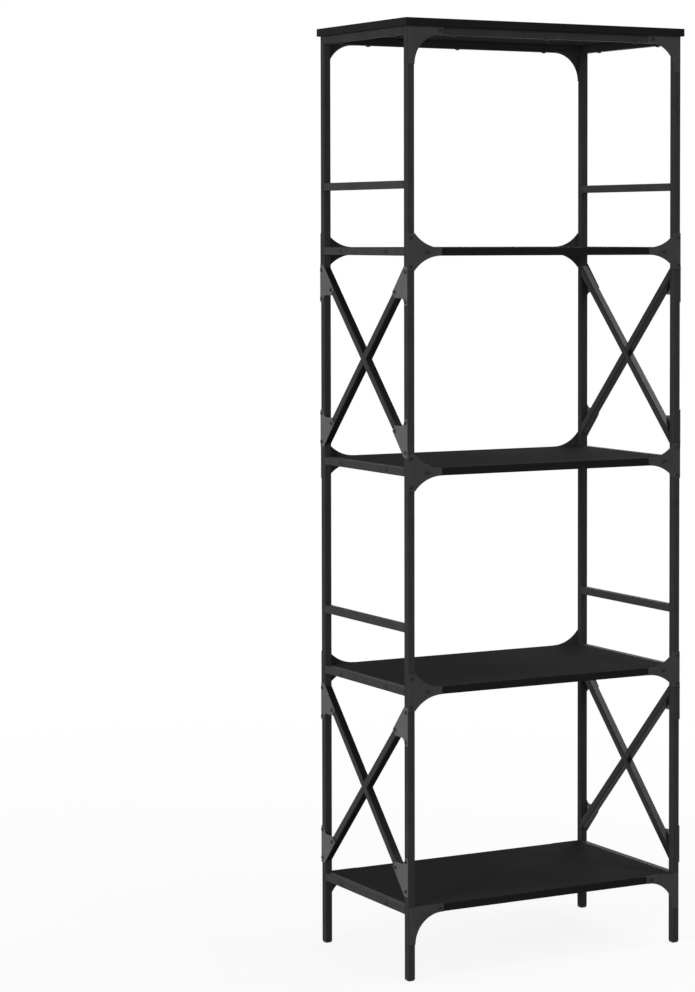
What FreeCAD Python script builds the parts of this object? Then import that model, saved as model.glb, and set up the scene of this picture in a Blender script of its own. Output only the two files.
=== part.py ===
"""Five-tier bookcase: black boards on an open frame of square steel tube.

Millimetres. X runs along the front, Y from front to back, Z up.
The origin is on the floor, under the middle of the bookcase.
Tiers are counted from the top board (1) down to the lowest shelf (5).
"""
import FreeCAD
import Part
import Sketcher
import os

# Driving dimensions
SIZES = {
    "frame_width": 609,         # over the outer faces of the posts
    "frame_depth": 359,
    "ground_clearance": 125,    # floor to the underside of the lowest shelf
    "shelf_pitch": 412.5,       # from one tier to the next
    "board_thickness": 15,
    "top_overhang": 5.5,        # top board past the frame, all round
    "tube_size": 15,            # square tube, outside
    "tube_wall": 1.2,
    "tube_corner": 1.5,         # outer corner radius of the tube
    "upper_bar_rise": 110.5,    # second tier's board to the plain bar above it
    "lower_bar_rise": 104.5,    # fourth tier's board to the plain bar above it
    "brace_end_gap": 36,        # board to a brace's centre line, where it meets the post
    "plate_thickness": 1.5,
    "flare_run": 56.5,          # middle bracket: curve along the board, from the post
    "flare_drop": 27.5,         # middle bracket: curve along the post, from the board
    "flare_land": 1.5,          # middle bracket: straight tip past the curve
    "fillet_radius": 56,        # end bracket: quarter-circle curve
    "fillet_land": 5,           # end bracket: straight tip past the curve
    "end_bracket_inset": 2,     # end bracket: back from the post's outer edge
    "gusset_start": 20,         # gusset: board to its near end on the post
    "gusset_end": 93,           # gusset: board to its far end on the post
    "gusset_shoulder": 13,      # gusset: width of its near end
    "gusset_tail": 10,          # gusset: width of its far end
    "gusset_notch": 14,         # gusset: radius of the hollow between post and brace
    "gusset_reach": 43.5,       # gusset: cover along the brace, from the post
    "cap_height": 6,            # foot cap below the tube
    "cap_corner": 3,            # upright corner radius of the foot cap
    "cap_chamfer": 2.5,         # round the foot cap's lower rim
    "cap_plug": 15,             # foot cap inside the tube
    "cap_gap": 0.1,             # foot cap to the tube's inner wall
}

TIERS = 5
LEFT, RIGHT = -1, 1
FRONT, BACK = -1, 1
SIDE_NAME = {LEFT: "left", RIGHT: "right"}
FACE_NAME = {FRONT: "front", BACK: "back"}
ALONG_X = FreeCAD.Rotation(FreeCAD.Vector(0, 1, 0), 90)
ALONG_Y = FreeCAD.Rotation(FreeCAD.Vector(-1, 0, 0), 90)
UPRIGHT = FreeCAD.Rotation()

# Places that several pieces share, as expressions on the sheet
HALF_WIDTH = "(Sizes.frame_width / 2)"
HALF_DEPTH = "(Sizes.frame_depth / 2)"
HALF_TUBE = "(Sizes.tube_size / 2)"
INNER_WIDTH = "(Sizes.frame_width - 2 * Sizes.tube_size)"
INNER_DEPTH = "(Sizes.frame_depth - 2 * Sizes.tube_size)"
POST_X = "(Sizes.frame_width / 2 - Sizes.tube_size / 2)"
POST_Y = "(Sizes.frame_depth / 2 - Sizes.tube_size / 2)"
BORE = "(Sizes.tube_size - 2 * Sizes.tube_wall)"
BAY_HEIGHT = "(Sizes.shelf_pitch - Sizes.board_thickness)"
BRACE_RISE = f"({BAY_HEIGHT} - 2 * Sizes.brace_end_gap)"
BRACE_LEAN = f"atan({INNER_DEPTH} / {BRACE_RISE})"      # from the vertical
BRACE_BLANK = "(Sizes.frame_depth + Sizes.shelf_pitch)"  # longer than any brace

doc = FreeCAD.newDocument("Bookcase")
sheet = doc.addObject("Spreadsheet::Sheet", "Sizes")
for row, (alias, size) in enumerate(SIZES.items(), start=1):
    sheet.set(f"A{row}", alias)
    sheet.set(f"B{row}", str(size))
    sheet.setAlias(f"B{row}", alias)
doc.recompute()

subparts = []


def tier_z(tier):
    """Underside of a tier: of its board, or at the top of the frame of its rails."""
    return f"(Sizes.ground_clearance + {TIERS - tier} * Sizes.shelf_pitch)"


def tier_mid(tier):
    """Middle height of the tubes at a tier."""
    return f"({tier_z(tier)} + {HALF_TUBE})"


TOP_BOARD_Z = f"({tier_z(1)} + Sizes.tube_size)"


def keep(piece, name):
    """Name a finished sub-part and list it for export."""
    piece.Label = name
    subparts.append(piece)


def place(piece, rotation, x="0", y="0", z="0"):
    """Turn a piece and bind its place to the sheet."""
    piece.Placement = FreeCAD.Placement(FreeCAD.Vector(), rotation)
    for axis, expression in zip("xyz", (x, y, z)):
        piece.setExpression(f"Placement.Base.{axis}", expression)


def new_body(name):
    body = doc.addObject("PartDesign::Body", name)
    body.AllowCompound = True
    return body


def new_sketch(body, role, lift="0"):
    """Sketch on one of the body's own planes, lifted along the plane's normal."""
    sketch = body.newObject("Sketcher::SketchObject", "Sketch")
    plane = next(item for item in body.Origin.OriginFeatures if item.Role == role)
    sketch.AttachmentSupport = [(plane, "")]
    sketch.MapMode = "FlatFace"
    sketch.setExpression("AttachmentOffset.Base.z", lift)
    return sketch


def bind(sketch, constraint, expression):
    index = sketch.addConstraint(constraint)
    sketch.setExpression(f"Constraints[{index}]", expression)


def pin(sketch, geometry, point, x, y):
    """Fix a point of the sketch at a place bound to the sheet."""
    at = FreeCAD.Vector(sketch.evalExpression(x), sketch.evalExpression(y), 0)
    bind(sketch, Sketcher.Constraint("DistanceX", -1, 1, geometry, point, at.x), x)
    bind(sketch, Sketcher.Constraint("DistanceY", -1, 1, geometry, point, at.y), y)


def draw_outline(sketch, corners):
    """Closed outline through corners (x, y) or (x, y, centre x, centre y, radius, turn).

    A corner with a centre is reached from the one before it by an arc,
    which turns anticlockwise (+1) or clockwise (-1). Other sides are straight.
    """
    def point(x, y):
        return FreeCAD.Vector(sketch.evalExpression(x), sketch.evalExpression(y), 0)

    ends = []
    for index, corner in enumerate(corners):
        start = point(*corners[index - 1][:2])
        end = point(*corner[:2])
        if len(corner) == 2:
            side = sketch.addGeometry(Part.LineSegment(start, end))
            ends.append((side, 1, 2))
            continue
        centre_x, centre_y, radius, turn = corner[2:]
        centre = point(centre_x, centre_y)
        circle = Part.Circle(centre, FreeCAD.Vector(0, 0, 1), sketch.evalExpression(radius))
        low, high = (start, end) if turn > 0 else (end, start)
        arc = Part.ArcOfCircle(circle, circle.parameter(low), circle.parameter(high))
        side = sketch.addGeometry(arc)
        ends.append((side, 1, 2) if turn > 0 else (side, 2, 1))
        bind(sketch, Sketcher.Constraint("Radius", side, circle.Radius), radius)
    for index, (side, _, finish) in enumerate(ends):
        following, begin, _ = ends[(index + 1) % len(ends)]
        sketch.addConstraint(Sketcher.Constraint("Coincident", side, finish, following, begin))
        pin(sketch, side, finish, *corners[index][:2])


def draw_rectangle(sketch, half_x, half_y):
    draw_outline(sketch, [(f"-{half_x}", f"-{half_y}"), (half_x, f"-{half_y}"),
                          (half_x, half_y), (f"-{half_x}", half_y)])


def pad(body, sketch, length, reverse=False):
    feature = body.newObject("PartDesign::Pad", "Pad")
    feature.Profile = sketch
    feature.Reversed = reverse
    feature.setExpression("Length", length)
    doc.recompute()
    return feature


def bore_through(body, sketch):
    """Cut a sketch right through the body, both ways from its plane."""
    feature = body.newObject("PartDesign::Pocket", "Bore")
    feature.Profile = sketch
    feature.Type = "ThroughAll"
    feature.Midplane = True
    before = feature.BaseFeature.Shape.Volume
    doc.recompute()
    if feature.Shape.Volume >= before:
        raise RuntimeError(f"{body.Name}: the bore cut nothing")


def dress_edges(body, kind, base, edges, size_name, size):
    """Fillet or chamfer some edges of the last feature."""
    feature = body.newObject(f"PartDesign::{kind}", kind)
    feature.Base = (base, [f"Edge{index + 1}" for index in edges])
    feature.setExpression(size_name, size)
    doc.recompute()
    return feature


def round_corners(body, bar, radius):
    """Round the four upright edges of a square bar."""
    upright = []
    for index, edge in enumerate(bar.Shape.Edges):
        run = edge.Vertexes[-1].Point - edge.Vertexes[0].Point
        if abs(run.z) > edge.Length / 2:
            upright.append(index)
    return dress_edges(body, "Fillet", bar, upright, "Radius", radius)


def tube_body(name, length, middle=False):
    """Square tube with rounded outer corners along its own Z, from the end or about its middle."""
    body = new_body(name)
    outline = new_sketch(body, "XY_Plane")
    draw_rectangle(outline, HALF_TUBE, HALF_TUBE)
    bar = pad(body, outline, length)
    bar.Midplane = middle
    doc.recompute()
    round_corners(body, bar, "Sizes.tube_corner")
    bore = new_sketch(body, "XY_Plane")
    draw_rectangle(bore, f"({BORE} / 2)", f"({BORE} / 2)")
    bore_through(body, bore)
    return body


# Boards

def make_board(name, width, depth, z):
    board = doc.addObject("Part::Box", name)
    board.setExpression("Length", width)
    board.setExpression("Width", depth)
    board.setExpression("Height", "Sizes.board_thickness")
    place(board, UPRIGHT, f"-({width}) / 2", f"-({depth}) / 2", z)
    keep(board, name)


# Posts and foot caps

def make_post(face, side):
    name = f"post_{FACE_NAME[face]}_{SIDE_NAME[side]}"
    body = tube_body(name, f"{TOP_BOARD_Z} - Sizes.cap_height")
    place(body, UPRIGHT, f"{side} * {POST_X}", f"{face} * {POST_Y}", "Sizes.cap_height")
    keep(body, name)


def make_foot_cap(face, side):
    """Push-in cap: a chamfered foot under the tube and a square plug inside it."""
    name = f"foot_cap_{FACE_NAME[face]}_{SIDE_NAME[side]}"
    body = new_body(name)
    outline = new_sketch(body, "XY_Plane")
    draw_rectangle(outline, HALF_TUBE, HALF_TUBE)
    foot = pad(body, outline, "Sizes.cap_height")
    corners = round_corners(body, foot, "Sizes.cap_corner")
    rim = [index for index, edge in enumerate(corners.Shape.Edges) if edge.BoundBox.ZMax < 1e-6]
    dress_edges(body, "Chamfer", corners, rim, "Size", "Sizes.cap_chamfer")
    plug = new_sketch(body, "XY_Plane", "Sizes.cap_height")
    half = f"({BORE} / 2 - Sizes.cap_gap)"
    draw_rectangle(plug, half, half)
    pad(body, plug, "Sizes.cap_plug")
    place(body, UPRIGHT, f"{side} * {POST_X}", f"{face} * {POST_Y}")
    keep(body, name)


# Rails and plain side bars

def make_long_rail(face):
    """Front or back rail under the top board."""
    name = f"top_rail_{FACE_NAME[face]}"
    body = tube_body(name, INNER_WIDTH, middle=True)
    place(body, ALONG_X, y=f"{face} * {POST_Y}", z=tier_mid(1))
    keep(body, name)


def make_side_rail(tier, side):
    """Rail between two posts, under the top board or beside a shelf."""
    name = f"top_rail_{SIDE_NAME[side]}" if tier == 1 else f"side_rail_{tier}_{SIDE_NAME[side]}"
    body = tube_body(name, INNER_DEPTH, middle=True)
    place(body, ALONG_Y, x=f"{side} * {POST_X}", z=tier_mid(tier))
    keep(body, name)


def make_side_bar(name, tier, rise, side):
    """Plain bar between two posts, above the board of a tier."""
    body = tube_body(f"{name}_{SIDE_NAME[side]}", INNER_DEPTH, middle=True)
    z = f"{tier_z(tier)} + Sizes.board_thickness + {rise} + {HALF_TUBE}"
    place(body, ALONG_Y, x=f"{side} * {POST_X}", z=z)
    keep(body, f"{name}_{SIDE_NAME[side]}")


# Crossed braces and their gusset plates

def bay_middle(lower_tier):
    return f"({tier_z(lower_tier)} + Sizes.board_thickness + {BAY_HEIGHT} / 2)"


def lean(piece, towards, x, z):
    """Lean a piece from the vertical, its top towards the front or the back."""
    any_angle = 45  # only keeps the axis, until the sheet's angle takes its place
    place(piece, FreeCAD.Rotation(FreeCAD.Vector(-towards, 0, 0), any_angle), x=x, z=z)
    piece.setExpression("Placement.Rotation.Angle", BRACE_LEAN)


def bay_box(name, side, z, height):
    """Space between two posts, from which the braces are cut to length."""
    box = doc.addObject("Part::Box", name)
    box.setExpression("Length", "Sizes.tube_size")
    box.setExpression("Width", INNER_DEPTH)
    box.setExpression("Height", height)
    place(box, UPRIGHT, f"{side} * {POST_X} - {HALF_TUBE}", f"-{INNER_DEPTH} / 2", z)
    return box


def make_cross(name, lower_tier, side):
    """One through tube and two half tubes that butt against it, mitred to the posts."""
    name = f"{name}_{SIDE_NAME[side]}"
    x = f"{side} * {POST_X}"
    middle = bay_middle(lower_tier)
    bottom = f"({tier_z(lower_tier)} + Sizes.board_thickness)"
    whole = bay_box(f"{name}_bay", side, bottom, BAY_HEIGHT)

    blank = tube_body(f"{name}_through_blank", BRACE_BLANK, middle=True)
    lean(blank, BACK, x, middle)
    through = doc.addObject("Part::Common", f"{name}_through")
    through.Base, through.Tool = blank, whole
    keep(through, f"{name}_through")

    channel = new_body(f"{name}_channel")
    outline = new_sketch(channel, "XY_Plane")
    draw_rectangle(outline, HALF_TUBE, HALF_TUBE)
    pad(channel, outline, BRACE_BLANK).Midplane = True
    lean(channel, BACK, x, middle)

    for part_name, start in (("lower", bottom), ("upper", middle)):
        blank = tube_body(f"{name}_{part_name}_blank", BRACE_BLANK, middle=True)
        lean(blank, FRONT, x, middle)
        half_bay = bay_box(f"{name}_{part_name}_bay", side, start, f"{BAY_HEIGHT} / 2")
        length = doc.addObject("Part::Common", f"{name}_{part_name}_length")
        length.Base, length.Tool = blank, half_bay
        half = doc.addObject("Part::Cut", f"{name}_{part_name}_half")
        half.Base, half.Tool = length, channel
        keep(half, f"{name}_{part_name}_half")


def gusset_outline(face, level):
    """Plate over a post and a brace's end: a slanted side along the brace, a hollow back to the post.

    Places are taken inwards from the post's outer edge and away from the board.
    """
    # along the brace, one step inwards is this much further from the board
    slope = f"({BRACE_RISE} / {INNER_DEPTH})"
    half_brace = f"({HALF_TUBE} * sqrt(1 + {slope}^2))"
    tip_in = "(Sizes.tube_size + Sizes.gusset_reach)"
    tip_out = f"(Sizes.brace_end_gap + {slope} * Sizes.gusset_reach - {half_brace})"
    # the end across the brace is square to it
    heel_in = f"({tip_in} - 2 * {half_brace} * {slope} / (1 + {slope}^2))"
    heel_out = f"({tip_out} + 2 * {half_brace} / (1 + {slope}^2))"
    hollow_in = "(Sizes.gusset_tail + Sizes.gusset_notch)"
    tail_out = f"({heel_out} + Sizes.gusset_notch)"

    def at(inward, outward):
        return f"{face} * ({HALF_DEPTH} - {inward})", f"{level} * ({BAY_HEIGHT} / 2 - {outward})"

    turn = -face * level
    corners = [
        at("0", "Sizes.gusset_start"),
        at("Sizes.gusset_shoulder", "Sizes.gusset_start"),
        at(tip_in, tip_out),
        at(heel_in, heel_out),
        at(hollow_in, heel_out),
        at("Sizes.gusset_tail", tail_out) + at(hollow_in, tail_out) + ("Sizes.gusset_notch", turn),
        at("Sizes.gusset_tail", "Sizes.gusset_end"),
        at("0", "Sizes.gusset_end"),
    ]
    return corners


def make_gussets(name, lower_tier, side):
    """Four plates on the outer face of one cross."""
    name = f"{name}_{SIDE_NAME[side]}"
    body = new_body(name)
    sketch = new_sketch(body, "YZ_Plane")
    for face in (FRONT, BACK):
        for level in (-1, 1):
            draw_outline(sketch, gusset_outline(face, level))
    pad(body, sketch, "Sizes.plate_thickness", reverse=side == LEFT)
    place(body, UPRIGHT, x=f"{side} * {HALF_WIDTH}", z=bay_middle(lower_tier))
    keep(body, name)


# Corner brackets

def middle_bracket_outline(side):
    """Plate across the post and along the board, with a hollow curve above and below the board."""
    radius = "((Sizes.flare_run^2 + Sizes.flare_drop^2) / (2 * Sizes.flare_drop))"
    inner = "Sizes.tube_size"
    tangent = f"({inner} + Sizes.flare_run)"
    tip = f"({tangent} + Sizes.flare_land)"
    half = "(Sizes.board_thickness / 2)"
    reach = f"({half} + Sizes.flare_drop)"

    def at(inward, up):
        return f"{side} * ({HALF_WIDTH} - {inward})", up

    corners = [
        at("0", f"-{reach}"),
        at(inner, f"-{reach}"),
        at(tangent, f"-{half}") + at(tangent, f"-({half} + {radius})") + (radius, side),
        at(tip, f"-{half}"),
        at(tip, half),
        at(tangent, half),
        at(inner, reach) + at(tangent, f"{half} + {radius}") + (radius, side),
        at("0", reach),
    ]
    return corners


def end_bracket_outline(side, cover):
    """Plate across the post and along a board or rail, with a quarter circle below it."""
    start = "Sizes.end_bracket_inset"
    inner = "Sizes.tube_size"
    tangent = f"({inner} + Sizes.fillet_radius)"
    tip = f"({tangent} + Sizes.fillet_land)"

    def at(inward, up):
        return f"{side} * ({HALF_WIDTH} - {inward})", up

    corners = [
        at(start, "-Sizes.fillet_radius"),
        at(inner, "-Sizes.fillet_radius"),
        at(tangent, "0") + at(tangent, "-Sizes.fillet_radius") + ("Sizes.fillet_radius", side),
        at(tip, "0"),
        at(tip, cover),
        at(start, cover),
    ]
    return corners


def make_brackets(tier, face):
    """Left and right brackets of a tier, on the front or back of the frame."""
    name = f"brackets_{tier}_{FACE_NAME[face]}"
    body = new_body(name)
    sketch = new_sketch(body, "XZ_Plane")
    z = tier_z(tier)
    for side in (LEFT, RIGHT):
        if tier == 1:
            draw_outline(sketch, end_bracket_outline(side, "Sizes.tube_size"))
        elif tier == TIERS:
            draw_outline(sketch, end_bracket_outline(side, "Sizes.board_thickness"))
        else:
            draw_outline(sketch, middle_bracket_outline(side))
    if tier not in (1, TIERS):
        z = f"{z} + Sizes.board_thickness / 2"
    pad(body, sketch, "Sizes.plate_thickness", reverse=face == BACK)
    place(body, UPRIGHT, y=f"{face} * {HALF_DEPTH}", z=z)
    keep(body, name)


make_board("top_board", "Sizes.frame_width + 2 * Sizes.top_overhang",
           "Sizes.frame_depth + 2 * Sizes.top_overhang", TOP_BOARD_Z)
for tier in range(2, TIERS + 1):
    make_board(f"shelf_{tier}", INNER_WIDTH, "Sizes.frame_depth", tier_z(tier))
for face in (FRONT, BACK):
    make_long_rail(face)
    for side in (LEFT, RIGHT):
        make_post(face, side)
        make_foot_cap(face, side)
for side in (LEFT, RIGHT):
    for tier in range(1, TIERS + 1):
        make_side_rail(tier, side)
    make_side_bar("upper_bar", 2, "Sizes.upper_bar_rise", side)
    make_side_bar("lower_bar", 4, "Sizes.lower_bar_rise", side)
    make_cross("upper_cross", 3, side)
    make_cross("lower_cross", 5, side)
    make_gussets("upper_gussets", 3, side)
    make_gussets("lower_gussets", 5, side)
for tier in range(1, TIERS + 1):
    for face in (FRONT, BACK):
        make_brackets(tier, face)
doc.recompute()

for item in doc.Objects:
    if {"Invalid", "Error"} & set(item.State):
        raise RuntimeError(f"{item.Label} failed: {item.State}")
for piece in subparts:
    if piece.Shape.isNull() or not piece.Shape.isValid():
        raise RuntimeError(f"{piece.Label} has no valid shape")

os.makedirs("parts", exist_ok=True)
for piece in subparts:
    piece.Shape.exportStep(f"parts/{piece.Label}.step")
print(len(subparts), "sub-parts written")
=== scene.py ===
import math
import bmesh
import bpy
from mathutils import Matrix, Vector


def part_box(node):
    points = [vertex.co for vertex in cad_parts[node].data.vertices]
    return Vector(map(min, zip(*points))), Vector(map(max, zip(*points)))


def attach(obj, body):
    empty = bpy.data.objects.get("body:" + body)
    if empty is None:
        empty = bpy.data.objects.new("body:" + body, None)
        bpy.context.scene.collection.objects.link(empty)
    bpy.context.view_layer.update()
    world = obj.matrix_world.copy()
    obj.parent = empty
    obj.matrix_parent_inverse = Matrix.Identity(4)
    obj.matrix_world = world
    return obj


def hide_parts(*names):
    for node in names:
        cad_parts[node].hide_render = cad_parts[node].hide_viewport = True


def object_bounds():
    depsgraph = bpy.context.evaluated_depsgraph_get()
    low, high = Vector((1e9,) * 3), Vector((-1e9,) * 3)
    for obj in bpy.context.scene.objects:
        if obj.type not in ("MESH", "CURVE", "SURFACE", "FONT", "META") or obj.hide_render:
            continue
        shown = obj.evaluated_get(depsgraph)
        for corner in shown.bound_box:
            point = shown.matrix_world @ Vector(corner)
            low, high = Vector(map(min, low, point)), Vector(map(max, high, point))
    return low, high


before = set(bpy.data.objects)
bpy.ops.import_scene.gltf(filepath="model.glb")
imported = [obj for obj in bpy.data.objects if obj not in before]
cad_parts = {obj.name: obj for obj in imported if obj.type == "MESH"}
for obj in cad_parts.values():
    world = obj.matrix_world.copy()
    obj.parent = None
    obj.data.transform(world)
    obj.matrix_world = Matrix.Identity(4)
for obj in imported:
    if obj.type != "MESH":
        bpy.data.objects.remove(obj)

cad_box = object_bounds()


# Posts, rails and bars
# Square steel tube with rolled corners, sprayed with matt black powder and baked. The front and
# back rails join two side frames at the top; the side rails and bars are a shade lighter.

MM = 0.001                      # metres in a millimetre
SHADE_ENDS = (0.3, 0.7)         # values of a noise at which a finish is darkest and lightest


def linear(hex_colour):
    """Linear colour with alpha from an sRGB hex value."""
    channels = [int(hex_colour[start:start + 2], 16) / 255 for start in (1, 3, 5)]
    return [c / 12.92 if c <= 0.04045 else ((c + 0.055) / 1.055) ** 2.4 for c in channels] + [1.0]


def add(tree, kind, inputs, **settings):
    """Add a node with its settings; an input gets a value, or a socket to be linked from."""
    node = tree.nodes.new(kind)
    for name, value in settings.items():
        setattr(node, name, value)
    for key, value in inputs.items():
        if isinstance(value, bpy.types.NodeSocket):
            tree.links.new(value, node.inputs[key])
        else:
            node.inputs[key].default_value = value
    return node


def new_finish(name):
    """New material, its node tree, its shader and the place on the piece that its patterns read."""
    material = bpy.data.materials.new(name)
    material.use_nodes = True
    tree = material.node_tree
    place = add(tree, "ShaderNodeTexCoord", {}).outputs["Object"]
    return material, tree, tree.nodes["Principled BSDF"], place


def powder_coat(name, dark, light, smooth, rough, gloss):
    """Baked polyester powder: a faintly mottled film with orange peel and a fine grit in its sheen."""
    patch_size = 60 * MM        # slow drift of the film's shade, with a finer mottle in it
    peel_size = 2.2 * MM        # orange peel, drawn about twice its real size so that it shows
    peel_depth = 0.03 * MM
    grit_size = 0.7 * MM
    material, tree, shader, place = new_finish(name)
    patch = add(tree, "ShaderNodeTexNoise", {"Vector": place, "Scale": 1 / patch_size, "Detail": 6.0,
                                             "Roughness": 0.75})
    shade = add(tree, "ShaderNodeValToRGB", {"Fac": patch.outputs["Fac"]})
    for stop, end, colour in zip(shade.color_ramp.elements, SHADE_ENDS, (dark, light)):
        stop.position = end
        stop.color = linear(colour)
    peel = add(tree, "ShaderNodeTexNoise", {"Vector": place, "Scale": 1 / peel_size, "Detail": 2.0})
    relief = add(tree, "ShaderNodeBump", {"Height": peel.outputs["Fac"], "Strength": 0.6,
                                          "Distance": peel_depth})
    grit = add(tree, "ShaderNodeTexNoise", {"Vector": place, "Scale": 1 / grit_size, "Detail": 1.0})
    sheen = add(tree, "ShaderNodeMapRange", {"Value": grit.outputs["Fac"], "To Min": smooth,
                                             "To Max": rough})
    shader.inputs["Specular IOR Level"].default_value = gloss
    tree.links.new(shade.outputs["Color"], shader.inputs["Base Color"])
    tree.links.new(sheen.outputs["Result"], shader.inputs["Roughness"])
    tree.links.new(relief.outputs["Normal"], shader.inputs["Normal"])
    return material


def coat_nodes(prefixes, material):
    """Give the frame's own tubes their finish."""
    for name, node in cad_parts.items():
        if name.startswith(prefixes):
            node.data.materials.clear()
            node.data.materials.append(material)


MATT = {"smooth": 0.68, "rough": 0.82, "gloss": 0.03}       # range of roughness, and level of shine
tube_coat = powder_coat("powder_coated_tube", "#262626", "#2d2d2d", **MATT)
rail_coat = powder_coat("powder_coated_rail", "#2e2e2e", "#353535", **MATT)
coat_nodes(("post_", "top_rail_"), tube_coat)
coat_nodes(("side_rail_", "upper_bar_", "lower_bar_"), rail_coat)


# Crossed side braces
# The same tube at a slant: one length runs right through and two half lengths butt against it.
# Their ends are mitred to the posts. Their powder is satin, and drawn darker than the frame's as painted
# shade.

SATIN = {"smooth": 0.28, "rough": 0.36, "gloss": 0.08}
# painted shade: this colour is darker than the frame's tubes, standing in for the braces' shaded faces
brace_coat_painted_shade = powder_coat("powder_coated_brace", "#161616", "#1c1c1c", **SATIN)
coat_nodes(("upper_cross_", "lower_cross_"), brace_coat_painted_shade)


# Foot caps
# Black polyethylene caps, pushed into the open lower ends of the posts.
# Each has a square plug inside the tube and a foot with a rounded rim that stands on the floor.

scene = bpy.context.scene


def add_piece(name, mesh, materials, slot, *nodes):
    """Put a finished mesh into the scene as a fixed piece, in place of the nodes that it stands for."""
    for material in materials:
        mesh.materials.append(material)
    piece = bpy.data.objects.new(name, mesh)
    scene.collection.objects.link(piece)
    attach(piece, "root")
    if nodes:
        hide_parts(*nodes)


def moulded_polyethylene(name, colour):
    """Injection-moulded polyethylene: waxy, with the fine spark texture of its mould."""
    spark_size = 0.8 * MM
    spark_depth = 0.02 * MM
    material, tree, shader, place = new_finish(name)
    spark = add(tree, "ShaderNodeTexNoise", {"Vector": place, "Scale": 1 / spark_size, "Detail": 2.0})
    sheen = add(tree, "ShaderNodeMapRange", {"Value": spark.outputs["Fac"], "To Min": 0.42, "To Max": 0.58})
    relief = add(tree, "ShaderNodeBump", {"Height": spark.outputs["Fac"], "Strength": 0.5,
                                          "Distance": spark_depth})
    shader.inputs["Base Color"].default_value = linear(colour)
    shader.inputs["IOR"].default_value = 1.51
    shader.inputs["Specular IOR Level"].default_value = 0.2
    tree.links.new(sheen.outputs["Result"], shader.inputs["Roughness"])
    tree.links.new(relief.outputs["Normal"], shader.inputs["Normal"])
    return material


def rounded_square(bm, centre, z, half, radius):
    """Ring of vertices on a square with rounded corners, anticlockwise."""
    corner_steps = 6
    ring = []
    for quarter in range(4):
        start = quarter * math.pi / 2
        corner = Matrix.Rotation(start, 2) @ Vector((half - radius, half - radius))
        for step in range(corner_steps + 1):
            turn = start + step / corner_steps * math.pi / 2
            x = centre.x + corner.x + radius * math.cos(turn)
            y = centre.y + corner.y + radius * math.sin(turn)
            ring.append(bm.verts.new((x, y, z)))
    return ring


def foot_cap(low, high, tube_end):
    """Closed mesh from the rounded rim on the floor up to the end of the plug."""
    corner = 1.5 * MM           # rolled corner of the tube, which the foot follows
    rim_in = 3 * MM             # how far the rim draws in at the floor
    rim_up = 4.5 * MM           # how high its rounding reaches
    rim_steps = 8
    lip = 0.3 * MM              # small chamfer under the tube, which shows as a seam
    plug_wall = 1.3 * MM        # tube wall and clearance
    crease_angle = math.radians(35)
    centre = (low + high) / 2
    half = (high.x - low.x) / 2
    bm = bmesh.new()
    rings = []
    for step in range(rim_steps + 1):
        turn = step / rim_steps * math.pi / 2
        inset = rim_in * (1 - math.sin(turn))
        z = low.z + rim_up * (1 - math.cos(turn))
        rings.append(rounded_square(bm, centre, z, half - inset, corner + inset / 2))
    rings.append(rounded_square(bm, centre, tube_end - lip, half, corner))
    rings.append(rounded_square(bm, centre, tube_end, half - lip, corner))
    rings.append(rounded_square(bm, centre, tube_end, half - plug_wall, corner / 2))
    rings.append(rounded_square(bm, centre, high.z, half - plug_wall, corner / 2))
    for lower, upper in zip(rings, rings[1:]):
        for index in range(len(lower)):
            bm.faces.new((lower[index - 1], lower[index], upper[index], upper[index - 1]))
    bm.faces.new(reversed(rings[0]))
    bm.faces.new(rings[-1])
    mesh = bpy.data.meshes.new("foot_cap")
    bm.to_mesh(mesh)
    bm.free()
    mesh.shade_smooth()
    mesh.set_sharp_from_angle(angle=crease_angle)
    return mesh


cap_plastic = moulded_polyethylene("moulded_polyethylene", "#141414")
for face in ("front", "back"):
    for side in ("left", "right"):
        post_low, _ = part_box(f"post_{face}_{side}")
        cap = foot_cap(*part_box(f"foot_cap_{face}_{side}"), post_low.z)
        add_piece(f"moulded_cap_{face}_{side}", cap, [cap_plastic], "cap", f"foot_cap_{face}_{side}")


# Shelf boards
# Particle board faced with black melamine, its edges closed with a thin plastic band.
# Each board lies between the two side rails of its tier and is screwed to them from outside.

SHELF_TIERS = range(2, 6)       # counted from the top board, which is tier 1


def melamine(name, dark, light):
    """Paper foil pressed on with a wood-grain plate: dull, with shallow pores along the board."""
    grain_width = 3 * MM
    grain_length = 90 * MM
    pore_depth = 0.05 * MM
    material, tree, shader, place = new_finish(name)
    along_x = (1 / grain_length, 1 / grain_width, 1 / grain_width)
    fibres = add(tree, "ShaderNodeMapping", {"Vector": place, "Scale": along_x})
    grain = add(tree, "ShaderNodeTexNoise", {"Vector": fibres.outputs["Vector"], "Scale": 1.0, "Detail": 5.0,
                                             "Distortion": 0.6})
    shade = add(tree, "ShaderNodeValToRGB", {"Fac": grain.outputs["Fac"]})
    for stop, end, colour in zip(shade.color_ramp.elements, SHADE_ENDS, (dark, light)):
        stop.position = end
        stop.color = linear(colour)
    sheen = add(tree, "ShaderNodeMapRange", {"Value": grain.outputs["Fac"], "To Min": 1.0, "To Max": 0.9})
    relief = add(tree, "ShaderNodeBump", {"Height": grain.outputs["Fac"], "Strength": 0.35,
                                          "Distance": pore_depth})
    shader.inputs["Specular IOR Level"].default_value = 0.002
    tree.links.new(shade.outputs["Color"], shader.inputs["Base Color"])
    tree.links.new(sheen.outputs["Result"], shader.inputs["Roughness"])
    tree.links.new(relief.outputs["Normal"], shader.inputs["Normal"])
    return material


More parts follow.
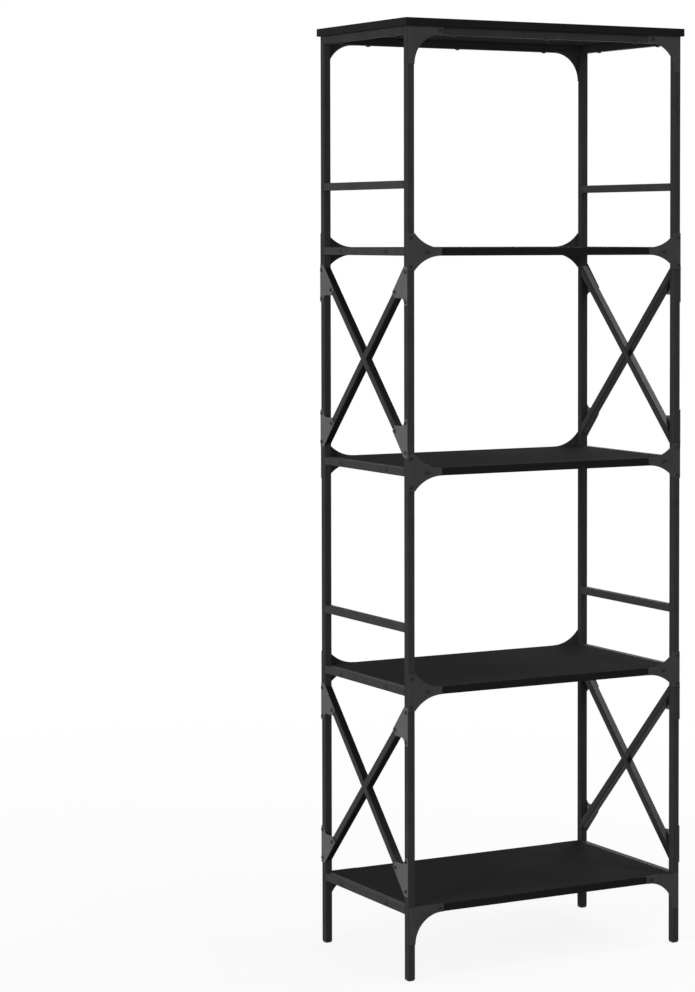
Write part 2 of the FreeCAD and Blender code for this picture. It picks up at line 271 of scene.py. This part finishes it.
def edge_band(name, colour):
    """Extruded ABS band, milled flush: plainer, darker and a little smoother than the faces."""
    mill_size = 1.5 * MM
    material, tree, shader, place = new_finish(name)
    mill = add(tree, "ShaderNodeTexNoise", {"Vector": place, "Scale": 1 / mill_size, "Detail": 2.0})
    sheen = add(tree, "ShaderNodeMapRange", {"Value": mill.outputs["Fac"], "To Min": 0.45, "To Max": 0.6})
    shader.inputs["Base Color"].default_value = linear(colour)
    shader.inputs["Specular IOR Level"].default_value = 0.02
    tree.links.new(sheen.outputs["Result"], shader.inputs["Roughness"])
    return material


def board(low, high):
    """Board with its edges eased, its faces in the first material and its band in the second."""
    faced, banded = 0, 1
    ease = 0.8 * MM
    ease_steps = 3
    bm = bmesh.new()
    bmesh.ops.create_cube(bm, size=1)
    bmesh.ops.scale(bm, vec=high - low, verts=bm.verts)
    bmesh.ops.translate(bm, vec=(low + high) / 2, verts=bm.verts)
    bm.normal_update()
    for face in bm.faces:
        lies_flat = abs(face.normal.z) > 0.5
        face.material_index = faced if lies_flat else banded
    bmesh.ops.bevel(bm, geom=bm.edges[:], offset=ease, segments=ease_steps, profile=0.5, affect="EDGES",
                    material=banded)
    mesh = bpy.data.meshes.new("board")
    bm.to_mesh(mesh)
    bm.free()
    return mesh


board_face = melamine("black_melamine", "#222222", "#272727")
board_band = edge_band("abs_edge_band", "#151515")
for tier in SHELF_TIERS:
    add_piece(f"shelf_board_{tier}", board(*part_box(f"shelf_{tier}")), [board_face, board_band], "board",
              f"shelf_{tier}")


# Top board
# The same faced board, cut larger so that it stands out past the frame all round.
# It lies on the top rails and is screwed to them from below.

add_piece("top_shelf_board", board(*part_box("top_board")), [board_face, board_band], "board", "top_board")


# Corner brackets
# Flat steel plates with hollow curves, laser-cut, deburred and coated. They lie on the posts and the
# board edges at the front and back. Each has a screw in its arm; the legs of the middle ones are
# screwed to the post as well, and those at the top and bottom are welded to it.

TIERS = (1, *SHELF_TIERS)
MERGE_REACH = 0.01 * MM         # corners nearer than this are made one


def deburred(node):
    """Copy of a flat plate from the frame with its cut edges rounded over."""
    round_over = 0.35 * MM
    round_steps = 2
    flat_angle = math.radians(1)
    edge_angle = math.radians(40)
    crease_angle = math.radians(20)
    bm = bmesh.new()
    bm.from_mesh(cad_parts[node].data)
    bmesh.ops.remove_doubles(bm, verts=bm.verts, dist=MERGE_REACH)
    bmesh.ops.dissolve_limit(bm, angle_limit=flat_angle, verts=bm.verts, edges=bm.edges)
    sharp = [edge for edge in bm.edges if edge.calc_face_angle(0) > edge_angle]
    bmesh.ops.bevel(bm, geom=sharp, offset=round_over, segments=round_steps, profile=0.5, affect="EDGES")
    mesh = bpy.data.meshes.new(node)
    bm.to_mesh(mesh)
    bm.free()
    mesh.shade_smooth()
    mesh.set_sharp_from_angle(angle=crease_angle)
    return mesh


bracket_coat = powder_coat("powder_coated_bracket", "#313131", "#373737", **MATT)
for tier in TIERS:
    for face in ("front", "back"):
        node = f"brackets_{tier}_{face}"
        add_piece(f"corner_{node}", deburred(node), [bracket_coat], "plate", node)


# Gusset plates
# Small steel plates over the ends of the crossed braces, on the outer sides of the frame.
# A slant follows the brace and a hollow leads back to the post; their coat is a lighter grey.

gusset_coat = powder_coat("powder_coated_gusset", "#4a4a4a", "#505050", **MATT)
for level in ("upper", "lower"):
    for side in ("left", "right"):
        node = f"{level}_gussets_{side}"
        add_piece(f"brace_{node}", deburred(node), [gusset_coat], "plate", node)


# Screws
# Low-headed steel screws with a hexagon socket, plated with black zinc. They hold the brackets and
# the gusset plates to the frame, the top board from below and the shelf boards from the sides.

def black_zinc(name, colour):
    """Zinc plating passivated black: a dark metal with a soft, slightly uneven shine."""
    stain_size = 1.2 * MM
    material, tree, shader, place = new_finish(name)
    stain = add(tree, "ShaderNodeTexNoise", {"Vector": place, "Scale": 1 / stain_size, "Detail": 2.0})
    sheen = add(tree, "ShaderNodeMapRange", {"Value": stain.outputs["Fac"], "To Min": 0.35, "To Max": 0.55})
    shader.inputs["Base Color"].default_value = linear(colour)
    shader.inputs["Metallic"].default_value = 1.0
    tree.links.new(sheen.outputs["Result"], shader.inputs["Roughness"])
    return material


def screw_tree():
    """Node group that stands a screw on every point, along the direction that the point holds."""
    head_sides = 12
    wall_share, dome_share, rim_share = 0.45, 0.45, 0.1     # of the head's height
    dome_scale = 0.78                                       # upper width of the dome over its lower one
    hexagon_reach = 1 / math.sqrt(3)                        # corner radius over width across flats
    flat_reach = math.sqrt(3) / 2                           # middle of a flat over corner radius
    number_max, number_out = 3, 1                           # a random node's sockets for plain numbers
    tree = bpy.data.node_groups.new("socket_screws", "GeometryNodeTree")
    kinds = {"Points": "Geometry", "Head Diameter": "Float", "Head Height": "Float",
             "Socket Width": "Float", "Socket Depth": "Float", "Finish": "Material", "Seed": "Int"}
    ends = {}
    for name, kind in kinds.items():
        end = tree.interface.new_socket(name, in_out="INPUT", socket_type=f"NodeSocket{kind}")
        ends[name] = end.identifier
    tree.interface.new_socket("Screws", in_out="OUTPUT", socket_type="NodeSocketGeometry")
    given = add(tree, "NodeGroupInput", {}).outputs

    # A disc is raised to a wall, a dome and a rim, and drawn in to the corners of the socket.
    half = add(tree, "ShaderNodeMath", {0: given["Head Diameter"], 1: 0.5}, operation="MULTIPLY")
    radius = half.outputs["Value"]
    disc = add(tree, "GeometryNodeMeshCircle", {"Vertices": head_sides, "Radius": radius}, fill_type="NGON")
    underside = add(tree, "GeometryNodeFlipFaces", {"Mesh": disc.outputs["Mesh"]})
    reach = add(tree, "ShaderNodeMath", {0: given["Socket Width"], 1: hexagon_reach / dome_scale},
                operation="MULTIPLY")
    rim_scale = add(tree, "ShaderNodeMath", {0: reach.outputs["Value"], 1: radius}, operation="DIVIDE")
    steps = ((wall_share, 1.0), (dome_share, dome_scale), (rim_share, rim_scale.outputs["Value"]))
    mesh = disc.outputs["Mesh"]
    top = True                  # the whole disc, at first
    for share, scale in steps:
        rise = add(tree, "ShaderNodeMath", {0: given["Head Height"], 1: share}, operation="MULTIPLY")
        raised = add(tree, "GeometryNodeExtrudeMesh", {"Mesh": mesh, "Selection": top,
                                                       "Offset Scale": rise.outputs["Value"]}, mode="FACES")
        top = raised.outputs["Top"]
        drawn_in = add(tree, "GeometryNodeScaleElements", {"Geometry": raised.outputs["Mesh"],
                                                           "Selection": top, "Scale": scale})
        mesh = drawn_in.outputs["Geometry"]

    # Every second corner moves in to the middle of a flat, and the hexagon is sunk into the head.
    index = add(tree, "GeometryNodeInputIndex", {})
    every_second = add(tree, "ShaderNodeMath", {0: index.outputs["Index"], 1: 2.0}, operation="MODULO")
    on_flat = add(tree, "FunctionNodeBooleanMath", {0: top, 1: every_second.outputs["Value"]},
                  operation="AND")
    spot = add(tree, "GeometryNodeInputPosition", {})
    moved_in = add(tree, "ShaderNodeVectorMath", {0: spot.outputs["Position"],
                                                  1: (flat_reach, flat_reach, 1)}, operation="MULTIPLY")
    hexagon = add(tree, "GeometryNodeSetPosition", {"Geometry": mesh,
                                                    "Selection": on_flat.outputs["Boolean"],
                                                    "Position": moved_in.outputs["Vector"]})
    drop = add(tree, "ShaderNodeMath", {0: given["Socket Depth"], 1: -1.0}, operation="MULTIPLY")
    sunk = add(tree, "GeometryNodeExtrudeMesh", {"Mesh": hexagon.outputs["Geometry"], "Selection": top,
                                                 "Offset Scale": drop.outputs["Value"]}, mode="FACES")
    closed = add(tree, "GeometryNodeJoinGeometry", {"Geometry": sunk.outputs["Mesh"]})
    tree.links.new(underside.outputs["Mesh"], closed.inputs["Geometry"])
    head = add(tree, "GeometryNodeMergeByDistance", {"Geometry": closed.outputs["Geometry"],
                                                     "Distance": MERGE_REACH})

    # Each head stands along its point's direction, turned by a random angle.
    facing = add(tree, "GeometryNodeInputNamedAttribute", {"Name": "facing"}, data_type="FLOAT_VECTOR")
    stand = add(tree, "FunctionNodeAlignRotationToVector", {"Vector": facing.outputs["Attribute"]}, axis="Z")
    spin = add(tree, "FunctionNodeRandomValue", {number_max: math.pi, "Seed": given["Seed"]},
               data_type="FLOAT")
    turn = add(tree, "FunctionNodeAxisAngleToRotation", {"Angle": spin.outputs[number_out]})
    set_in = add(tree, "FunctionNodeRotateRotation", {"Rotation": stand.outputs["Rotation"],
                                                      "Rotate By": turn.outputs["Rotation"]},
                 rotation_space="LOCAL")
    placed = add(tree, "GeometryNodeInstanceOnPoints", {"Points": given["Points"],
                                                        "Instance": head.outputs["Geometry"],
                                                        "Rotation": set_in.outputs["Rotation"]})
    real = add(tree, "GeometryNodeRealizeInstances", {"Geometry": placed.outputs["Instances"]})
    finished = add(tree, "GeometryNodeSetMaterial", {"Geometry": real.outputs["Geometry"],
                                                     "Material": given["Finish"]})
    add(tree, "NodeGroupOutput", {"Screws": finished.outputs["Geometry"]})
    return tree, ends


def stand_screws(name, spots, slot, screw):
    """Fixed piece of all the screws of one kind; a spot is a place on a surface and its direction."""
    crease_angle = math.radians(40)
    points = bpy.data.meshes.new(name)
    points.from_pydata([place for place, _ in spots], [], [])
    facing = points.attributes.new("facing", "FLOAT_VECTOR", "POINT")
    for item, (_, direction) in zip(facing.data, spots):
        item.vector = direction
    holder = bpy.data.objects.new(name, points)
    scene.collection.objects.link(holder)
    nodes = holder.modifiers.new("screws", "NODES")
    nodes.node_group = screw_group
    for end, value in screw.items():
        nodes[screw_ends[end]] = value
    mesh = bpy.data.meshes.new_from_object(holder.evaluated_get(bpy.context.evaluated_depsgraph_get()))
    bpy.data.objects.remove(holder)
    mesh.name = name
    mesh.shade_smooth()
    mesh.set_sharp_from_angle(angle=crease_angle)
    add_piece(name, mesh, [], slot)


screw_group, screw_ends = screw_tree()
screw_finish = black_zinc("black_zinc", "#2c2c2c")
PLATE_SCREW = {"Head Diameter": 8 * MM, "Head Height": 2 * MM, "Socket Width": 4 * MM,
               "Socket Depth": 1.2 * MM, "Finish": screw_finish, "Seed": 3}
BOARD_SCREW = {"Head Diameter": 9 * MM, "Head Height": 2.2 * MM, "Socket Width": 4 * MM,
               "Socket Depth": 1.4 * MM, "Finish": screw_finish, "Seed": 4}
FACES = (("front", -1), ("back", 1))        # with the sign of the way out along y
SIDES = (("left", -1), ("right", 1))        # and along x


def outer(node, axis, sign):
    """A node's outermost coordinate along one axis, towards the given sign."""
    low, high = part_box(node)
    return low[axis] if sign < 0 else high[axis]


# A gusset has two screws on the post and one on the brace. Each is placed by how far it lies inward
# from the post's outer edge and how far from the board.
POST_INSET = 5.5 * MM
GUSSET_SPOTS = ((POST_INSET, 30 * MM), (POST_INSET, 86 * MM), (47.5 * MM, 68.1 * MM))
plate_spots = []
for level, below, above in (("upper", 3, 2), ("lower", 5, 4)):
    bay_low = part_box(f"shelf_{below}")[1].z
    bay_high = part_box(f"shelf_{above}")[0].z
    for side, x_sign in SIDES:
        x = outer(f"{level}_gussets_{side}", 0, x_sign)
        for face, y_sign in FACES:
            edge = outer(f"post_{face}_{side}", 1, y_sign)
            for inward, from_board in GUSSET_SPOTS:
                for z in (bay_low + from_board, bay_high - from_board):
                    plate_spots.append(((x, edge - y_sign * inward, z), (x_sign, 0, 0)))

# A middle bracket has one screw in its arm and one in the post above and below the board.
# An end bracket has only the one in its arm; its leg is welded to the post.
MIDDLE_ARM = 40 * MM
MIDDLE_RISE = 27 * MM
END_ARM = 67.5 * MM
for face, y_sign in FACES:
    for side, x_sign in SIDES:
        edge = outer(f"post_{face}_{side}", 0, x_sign)
        for tier in TIERS:
            y = outer(f"brackets_{tier}_{face}", 1, y_sign)
            low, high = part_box(f"top_rail_{face}" if tier == TIERS[0] else f"shelf_{tier}")
            arm = (low.z + high.z) / 2
            spots = ((MIDDLE_ARM, arm), (POST_INSET, arm + MIDDLE_RISE), (POST_INSET, arm - MIDDLE_RISE))
            if tier in (TIERS[0], TIERS[-1]):
                spots = ((END_ARM, arm),)
            for inward, z in spots:
                plate_spots.append(((edge - x_sign * inward, y, z), (0, y_sign, 0)))

# Screws go up through the top rails and sideways through the side rails into the boards.
LONG_RAIL_SHARES = (0.15, 0.5, 0.85)        # of the rail's length
SHORT_RAIL_SHARES = (0.17, 0.83)
SIDE_RAIL_REACH = 93.5 * MM                 # to the front and back of the rail's middle
board_spots = []
for face, _ in FACES:
    low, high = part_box(f"top_rail_{face}")
    for share in LONG_RAIL_SHARES:
        board_spots.append(((low.x + share * (high.x - low.x), (low.y + high.y) / 2, low.z), (0, 0, -1)))
for side, x_sign in SIDES:
    low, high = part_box(f"top_rail_{side}")
    for share in SHORT_RAIL_SHARES:
        board_spots.append((((low.x + high.x) / 2, low.y + share * (high.y - low.y), low.z), (0, 0, -1)))
    for tier in SHELF_TIERS:
        x = outer(f"side_rail_{tier}_{side}", 0, x_sign)
        low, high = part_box(f"shelf_{tier}")
        for y in (-SIDE_RAIL_REACH, SIDE_RAIL_REACH):
            board_spots.append(((x, y, (low.z + high.z) / 2), (x_sign, 0, 0)))

stand_screws("plate_screws", plate_spots, "plate", PLATE_SCREW)
stand_screws("board_screws", board_spots, "tube", BOARD_SCREW)


# Floor, light and camera
# A pale studio floor under a white surround, one large soft lamp at the left and three weaker ones.
# The camera stands at the left of the front, about as high as a standing person's chest.

FLOOR_REACH = 30.0                      # metres, far past the edges of the picture
corners = [(x * FLOOR_REACH, y * FLOOR_REACH, 0) for x, y in ((-1, -1), (1, -1), (1, 1), (-1, 1))]
floor_mesh = bpy.data.meshes.new("studio_floor")
floor_mesh.from_pydata(corners, [], [(0, 1, 2, 3)])
floor = bpy.data.objects.new("studio_floor", floor_mesh)
scene.collection.objects.link(floor)


def seen(tree):
    """One for rays that show the surround: seen straight, mirrored or through glass."""
    path = add(tree, "ShaderNodeLightPath", {})
    plain = add(tree, "ShaderNodeMath", {0: path.outputs["Is Camera Ray"], 1: path.outputs["Is Glossy Ray"]},
                operation="MAXIMUM")
    shown = add(tree, "ShaderNodeMath", {0: plain.outputs["Value"], 1: path.outputs["Is Transmission Ray"]},
                operation="MAXIMUM")
    return shown.outputs["Value"]


WHITE_NEAR, WHITE_FAR = 0.88, 1.0       # white share of the floor; the rest carries the shadow
FADE_START, FADE_END = 0.6, 3.0         # the floor clears to plain white over these distances
floor_paint, tree, paint, ground = new_finish("pale_floor")
paint.inputs["Base Color"].default_value = linear("#d4d4d4")
paint.inputs["Roughness"].default_value = 0.9
paint.inputs["Specular IOR Level"].default_value = 0.0
glow = add(tree, "ShaderNodeEmission", {"Strength": 1.0})
distance = add(tree, "ShaderNodeVectorMath", {0: ground}, operation="LENGTH")
white = add(tree, "ShaderNodeMapRange", {"Value": distance.outputs["Value"], "From Min": FADE_START,
                                         "From Max": FADE_END, "To Min": WHITE_NEAR, "To Max": WHITE_FAR})
glow_share = add(tree, "ShaderNodeMath", {0: seen(tree), 1: white.outputs["Result"]}, operation="MULTIPLY")
floor_mix = add(tree, "ShaderNodeMixShader", {0: glow_share.outputs["Value"], 1: paint.outputs["BSDF"],
                                              2: glow.outputs["Emission"]})
tree.links.new(floor_mix.outputs["Shader"], tree.nodes["Material Output"].inputs["Surface"])
floor_mesh.materials.append(floor_paint)

AMBIENT = 0.5                           # light from the surround, which is seen as plain white
world = bpy.data.worlds.new("white_surround")
world.use_nodes = True
scene.world = world
tree = world.node_tree
light_level = add(tree, "ShaderNodeMath", {0: seen(tree), 1: 1 - AMBIENT, 2: AMBIENT},
                  operation="MULTIPLY_ADD")
surround = tree.nodes["Background"]
surround.inputs["Color"].default_value = linear("#ffffff")
tree.links.new(light_level.outputs["Value"], surround.inputs["Strength"])

middle = (cad_box[0] + cad_box[1]) / 2


def soft_lamp(name, place, width, level):
    """Square lamp aimed at the bookcase; a white card facing it there would render at this level."""
    lamp = bpy.data.lights.new(name, "AREA")
    lamp.size = width
    aim = middle - Vector(place)
    # The card gets energy / (pi * distance squared), and renders at that over pi.
    lamp.energy = level * math.pi ** 2 * aim.length_squared
    holder = bpy.data.objects.new(name, lamp)
    holder.location = place
    holder.rotation_euler = aim.to_track_quat("-Z", "Y").to_euler()
    scene.collection.objects.link(holder)


soft_lamp("key_lamp_left", (-9.6, -3.6, 3.1), width=4.8, level=0.94)
soft_lamp("fill_lamp_back", (3.6, 3.8, 1.6), width=2.4, level=0.5)
soft_lamp("front_lamp_high", (1.6, -3.6, 4.8), width=1.6, level=0.18)
soft_lamp("top_lamp_right", (2.8, -0.5, 4.6), width=1.3, level=0.34)

CAMERA_PLACE = (-2.8632, -4.9218, 1.4015)
CAMERA_TURN = math.radians(30.173)      # to the right of straight ahead
CAMERA_DIP = math.radians(2.1)          # below the horizon
FOCAL_LENGTH = 105.06                   # millimetres, for a picture 36 mm high
PICTURE_SHIFT = (-0.1534, -0.1562)      # to the left and down, as shares of the picture's height
lens = bpy.data.cameras.new("photo_camera")
lens.lens = FOCAL_LENGTH
lens.shift_x, lens.shift_y = PICTURE_SHIFT
camera = bpy.data.objects.new("photo_camera", lens)
camera.location = CAMERA_PLACE
camera.rotation_euler = (math.pi / 2 - CAMERA_DIP, 0, -CAMERA_TURN)
scene.collection.objects.link(camera)
scene.camera = camera
scene.view_settings.view_transform = "Standard"
